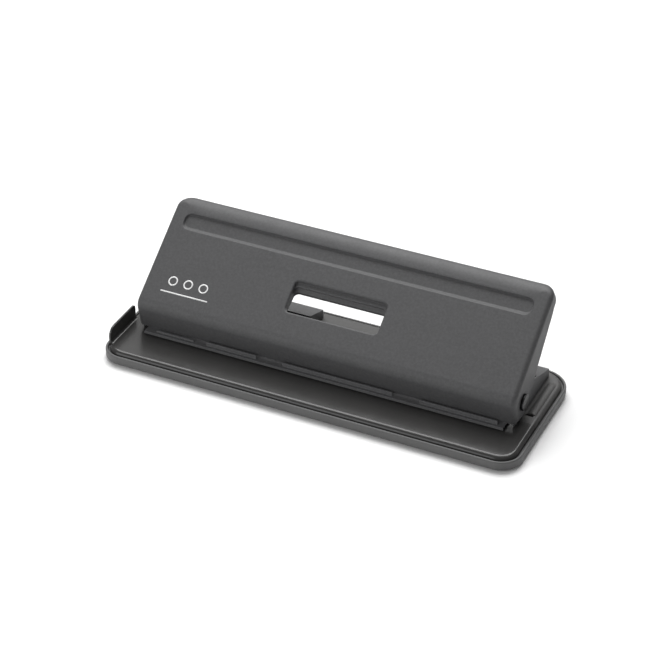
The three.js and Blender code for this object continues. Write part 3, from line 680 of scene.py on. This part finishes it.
# ---- tray and base ------------------------------------------------------------------------
def tray_outline(inset):
    """The tray's plan, drawn in by inset: a rectangle whose rear corners are rounder."""
    points = []
    steps = 14
    for turn, (side_x, side_y) in enumerate(((1, -1), (1, 1), (-1, 1), (-1, -1))):
        corner = TRAY_FRONT_CORNER if side_y < 0 else TRAY_REAR_CORNER
        edge_y = TRAY_LOW.y if side_y < 0 else TRAY_HIGH.y
        centre = (side_x * (TRAY_HIGH.x - corner), edge_y - side_y * corner)
        points += arc(centre, corner - inset, 90 * turn - 90, 90 * turn, steps)
    return points


def foot_places():
    for row in ("front", "rear"):
        for end in ("left", "right"):
            low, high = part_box(f"foot_{row}_{end}")
            yield f"foot_{row}_{end}", (low + high) / 2


def chip_tray():
    shape = bmesh.new()
    bottom, top = TRAY_LOW.z, TRAY_HIGH.z
    floor = bottom + TRAY_FLOOR
    rim = TRAY_WALL / 2
    ledge = TRAY_WALL + TRAY_LEDGE
    section = [(0.9 * MM, bottom), (0.35 * MM, bottom + 0.2 * MM), (0, bottom + 0.9 * MM)]
    section += [(0, top - rim)]
    section += [(rim - rim * math.cos(t), top - rim + rim * math.sin(t)) for t in QUARTER_TURN]
    section += [(rim + rim * math.sin(t), top - rim + rim * math.cos(t)) for t in QUARTER_TURN]
    section += [(TRAY_WALL, TRAY_LEDGE_TOP + 0.4 * MM), (TRAY_WALL + 0.4 * MM, TRAY_LEDGE_TOP)]
    section += [(ledge - 0.3 * MM, TRAY_LEDGE_TOP), (ledge, TRAY_LEDGE_TOP - 0.3 * MM)]
    section += [(ledge, floor + 0.8 * MM), (ledge + 0.2 * MM, floor + 0.2 * MM)]
    section += [(ledge + 0.8 * MM, floor)]
    loops = [loop(shape, upright(tray_outline(inset), z)) for inset, z in section]
    strips(shape, loops)
    under, over = [loops[0]], [loops[-1]]
    for _, middle in foot_places():
        hole = circle((middle.x, middle.y), FOOT_HOLE_RADIUS, 24)
        pair = [loop(shape, upright(hole, z)) for z in (bottom, floor)]
        strip(shape, *pair)
        under.append(pair[0])
        over.append(pair[1])
    fill(shape, under)
    fill(shape, over)
    bmesh.ops.recalc_face_normals(shape, faces=shape.faces)
    mesh = to_mesh("chip_tray", shape)
    piece = add_piece("tray_moulding", mesh, TRAY_PLASTIC, "tray", ("chip_tray",))
    rounded_edges(piece, 0.2 * MM)


def stop_corner(y, corner, way, steps):
    """Places along the stop's round corner, and how far each lies under its top."""
    turns = [math.pi / 2 * i / steps for i in range(steps + 1)]
    if way < 0:
        return [(y + corner - corner * math.cos(t), corner - corner * math.sin(t)) for t in turns]
    return [(y - corner + corner * math.sin(t), corner - corner * math.cos(t)) for t in turns]


def paper_stop(shape):
    """The upturned wall that squares the sheets, bent up from the plate with a soft foot."""
    outer_x = STOP_INNER_X - SHEET_METAL
    foot_base = BASE_TOP - 0.05 * MM
    rows = []
    outline = stop_corner(STOP_FRONT, STOP_FRONT_CORNER, -1, 8)
    outline += stop_corner(STOP_REAR, STOP_REAR_CORNER, 1, 5)
    for y, drop in outline:
        curve = []
        for t in (0, 0.35, 0.7, 1.05, 1.4):
            x = STOP_INNER_X + STOP_FOOT * (1 - math.sin(t))
            curve.append(Vector((x, y, foot_base + STOP_FOOT * (1 - math.cos(t)))))
        curve += [Vector((x, y, STOP_TOP - drop)) for x in (STOP_INNER_X, outer_x)]
        curve.append(Vector((outer_x, y, BASE_TOP - 3 * MM)))
        curve.append(Vector((STOP_INNER_X + STOP_FOOT, y, BASE_TOP - 1 * MM)))
        rows.append(loop(shape, curve))
    strips(shape, rows)
    shape.faces.new(rows[0])
    shape.faces.new(reversed(rows[-1]))


def edge_bead(side):
    """The raised bead pressed into one end of the plate, from its notch to near the rear corner."""
    section = ((131.6, 0), (132, 0.16), (132.6, 0.45), (133.4, 0.75), (134.4, 0.88))
    section += ((135.4, 0.88), (136.3, 0.72), (137.1, 0.42), (137.6, 0.16), (137.8, 0))
    stations = [(NOTCH_REAR + back * MM, share) for back, share in
                ((0, 0), (0.05, 0.35), (0.2, 0.65), (0.5, 0.88), (1, 1), (18, 1))]
    stations += [(BEAD_REAR - ahead * MM, share) for ahead, share in
                 ((5, 1), (3.5, 0.9), (2.2, 0.65), (1, 0.35), (0, 0))]
    sunk = 0.06 * MM
    shape = bmesh.new()
    rows = []
    for y, share in stations:
        points = [Vector((side * x * MM, y, rise * share * MM)) for x, rise in section]
        rows.append(loop(shape, [point + Vector((0, 0, BASE_TOP - sunk)) for point in points]))
    strips(shape, rows, closed=False)
    outwards(shape, Vector((side * 135 * MM, 20 * MM, BASE_TOP)), Vector((0, 0, 1)))
    name = "edge_bead_" + ("left" if side < 0 else "right")
    add_piece(name, to_mesh(name, shape), GLOSS_COAT, "base")


def base_plate():
    shape = bmesh.new()
    section = [(0, SKIRT_BOTTOM), (0, BASE_TOP - BASE_EDGE)]
    steps = 7
    for i in range(1, steps + 1):
        turn = math.pi / 2 * i / steps
        section.append((BASE_EDGE * (1 - math.cos(turn)), BASE_TOP - BASE_EDGE * (1 - math.sin(turn))))
    loops = [loop(shape, upright(tray_outline(SKIRT_INSET + inset), z)) for inset, z in section]
    strips(shape, loops)
    holes = [circle((i * HOLE_PITCH, PUNCH_Y), DIE_RADIUS) for i in (-1, 0, 1)]
    for _, side in ENDS:
        ends = sorted((side * NOTCH_INNER_X, side * NOTCH_OUTER_X))
        holes.append(rounded_rectangle((*ends, NOTCH_FRONT, NOTCH_REAR), 0.6 * MM, 0, 3))
    fill(shape, [loops[-1]] + [loop(shape, upright(hole, BASE_TOP)) for hole in holes])
    outwards(shape, Vector((0, -35 * MM, BASE_TOP)), Vector((0, 0, 1)))
    mesh = to_mesh("base_plate", shape)
    piece = add_piece("base_pressing", mesh, GLOSS_COAT, "base", ("base_plate",))
    sheet_metal(piece, SHEET_METAL)
    rounded_edges(piece, 0.25 * MM)
    for _, side in ENDS:
        edge_bead(side)
    stop = bmesh.new()
    paper_stop(stop)
    bmesh.ops.recalc_face_normals(stop, faces=stop.faces)
    wall = add_piece("paper_stop", to_mesh("paper_stop", stop), GLOSS_COAT, "base")
    rounded_edges(wall, 0.3 * MM, 3)


def feet():
    """Turned rubber pads, each with a neck and a mushroom end through the tray's floor."""
    for name, middle in foot_places():
        low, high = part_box(name)
        base = Vector((middle.x, middle.y, low.z))
        radius = (high.x - low.x) / 2
        profile = [(0, 0.25 * MM), (3.4 * MM, 0.25 * MM), (3.7 * MM, 0), (radius - 0.4 * MM, 0)]
        profile += [(radius, 0.35 * MM), (radius, 0.6 * MM), (radius - 0.1 * MM, 0.7 * MM)]
        profile += [(2.5 * MM, 0.7 * MM), (2.5 * MM, 2.5 * MM), (3.2 * MM, 2.6 * MM)]
        profile += [(2.5 * MM, 3.2 * MM), (0, 3.3 * MM)]
        mesh = to_mesh(name, lathe(profile, base, Vector((0, 0, 1)), ACROSS))
        add_piece(name + "_pad", mesh, RUBBER, "tray", (name,))


# ---- hinge, springs and small steel pieces ------------------------------------------------
def pin_profile(length):
    """A hinge pin from its inner end to its domed head, as (radius, distance) pairs."""
    groove_end = PIN_GROOVE_START + PIN_GROOVE_WIDTH
    head_start = length - PIN_HEAD_HEIGHT
    dome = length - PIN_DOME_START
    profile = [(0, 0), (PIN_SHANK - 0.4 * MM, 0), (PIN_SHANK, 0.4 * MM), (PIN_SHANK, PIN_GROOVE_START)]
    profile += [(PIN_GROOVE_RADIUS, PIN_GROOVE_START), (PIN_GROOVE_RADIUS, groove_end)]
    profile += [(PIN_SHANK, groove_end), (PIN_SHANK, head_start)]
    profile += [(PIN_HEAD - 0.25 * MM, head_start), (PIN_HEAD, head_start + 0.25 * MM), (PIN_HEAD, dome)]
    for t in QUARTER_TURN:
        radius = PIN_HEAD - PIN_DOME_WIDTH * (1 - math.cos(t))
        profile.append((radius, dome + PIN_DOME_HEIGHT * math.sin(t)))
    return profile + [(PIN_HEAD * 0.45, length - 0.08 * MM), (0, length)]


def hinge_pins():
    for end, side in ENDS:
        name = "hinge_pin_" + end
        low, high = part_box(name)
        inner, outer = (low.x, high.x) if side > 0 else (-high.x, -low.x)
        base = Vector((side * inner, HINGE.y, HINGE.z))
        turned = lathe(pin_profile(outer - inner), base, ACROSS * side, Vector((0, 1, 0)), 64)
        add_piece(name + "_turned", to_mesh(name, turned), HINGE_STEEL, "base", (name,))


def helix(middle, bottom, top):
    """Points of a spring's wire, whose end turns lie flat."""
    points = []
    steps = int(SPRING_TURNS * 28)
    flat = SPRING_FLAT_TURNS
    for i in range(steps + 1):
        turns = SPRING_TURNS * i / steps
        risen = min(max((turns - flat) / (SPRING_TURNS - 2 * flat), 0), 1)
        closed = SPRING_WIRE * (min(turns, flat) + max(turns - SPRING_TURNS + flat, 0))
        rise = top - bottom - SPRING_WIRE * (1 + 2 * flat)
        angle = 2 * math.pi * turns
        x = middle.x + SPRING_RADIUS * math.cos(angle)
        y = middle.y + SPRING_RADIUS * math.sin(angle)
        points.append(Vector((x, y, bottom + SPRING_WIRE / 2 + closed + rise * risen)))
    return points


def tube(points, radius, sides=10):
    shape = bmesh.new()
    rows = []
    for i, point in enumerate(points):
        ahead = points[min(i + 1, len(points) - 1)] - points[max(i - 1, 0)]
        ahead.normalize()
        side = ahead.cross(Vector((0, 0, 1))).normalized()
        over = side.cross(ahead)
        ring = circle((0, 0), radius, sides)
        rows.append(loop(shape, [point + side * x + over * y for x, y in ring]))
    strips(shape, rows)
    shape.faces.new(reversed(rows[0]))
    shape.faces.new(rows[-1])
    bmesh.ops.recalc_face_normals(shape, faces=shape.faces)
    return shape


def springs():
    """Coiled wire round each punch pin, each spring with a mesh of its own."""
    for place in PUNCHES:
        node = "punch_spring_" + place
        low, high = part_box(node)
        pin_low, pin_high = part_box("punch_pin_" + place)
        middle = Vector(((pin_low.x + pin_high.x) / 2, PUNCH_Y, 0))
        mesh = to_mesh(node, tube(helix(middle, low.z, high.z), SPRING_WIRE / 2))
        piece = add_piece("return_spring_" + place, mesh, SPRING_STEEL, "base", (node,))
        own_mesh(piece)


def small_pieces():
    """Pieces that keep their CAD shape and get rounded edges and their own metal."""
    for place in PUNCHES:
        refined("punch_bracket_" + place, PLATED, "base", 0.25 * MM)
        refined("punch_pin_" + place, TOOL_STEEL, "punch_" + place, 0.12 * MM)
        refined("punch_clip_" + place, SPRING_STEEL, "punch_" + place, 0.1 * MM)
        for end, _ in ENDS:
            refined(f"bracket_rivet_{place}_{end}", PLATED, "base", 0.12 * MM)
    for end, _ in ENDS:
        refined("back_frame_" + end, POWDER_COAT, "base", 0.45 * MM, 3)
        refined("spacer_" + end, PLATED, "base", 0.15 * MM)
        refined("hinge_clip_" + end, SPRING_STEEL, "base", 0.1 * MM)
        for spot in ("inner", "outer"):
            refined(f"guide_rivet_{end}_{spot}", PLATED, "base", 0.12 * MM)
    # Painted light: the guide takes the lightened coat, because its tabs sit in the lever's shadow.
    refined("paper_guide", LIT_GUIDE_COAT, "base", 0.25 * MM, 3)
    refined("press_bar", PLATED, "handle", 0.3 * MM)


# ---- stage --------------------------------------------------------------------------------
def floor():
    shape = bmesh.new()
    corners = ((-1, -1), (1, -1), (1, 1), (-1, 1))
    shape.faces.new(loop(shape, upright([(x * FLOOR_REACH, y * FLOOR_REACH) for x, y in corners], 0)))
    n = Nodes("floor")
    n.finish(Base_Color=grey(0.9), Roughness=0.9)
    plane = bpy.data.objects.new("floor", to_mesh("floor", shape))
    plane.data.materials.append(n.material)
    bpy.context.scene.collection.objects.link(plane)


def area_light(name, place, target, size, power):
    data = bpy.data.lights.new(name, "AREA")
    data.shape = "RECTANGLE"
    data.size, data.size_y = size
    data.energy = power
    light = bpy.data.objects.new(name, data)
    light.location = place
    light.rotation_euler = (Vector(target) - Vector(place)).to_track_quat("-Z", "Y").to_euler()
    bpy.context.scene.collection.objects.link(light)


def lights():
    for light in STUDIO_LIGHTS:
        area_light(*light)
    world = bpy.data.worlds.new("studio")
    world.use_nodes = True
    background = world.node_tree.nodes["Background"]
    background.inputs["Color"].default_value = (1, 1, 1, 1)
    background.inputs["Strength"].default_value = ROOM_LIGHT
    bpy.context.scene.world = world
    bpy.context.scene.view_settings.view_transform = "Standard"


make_camera()
handle_shell()
printed_rings()
chip_tray()
base_plate()
feet()
hinge_pins()
springs()
small_pieces()
floor()
lights()
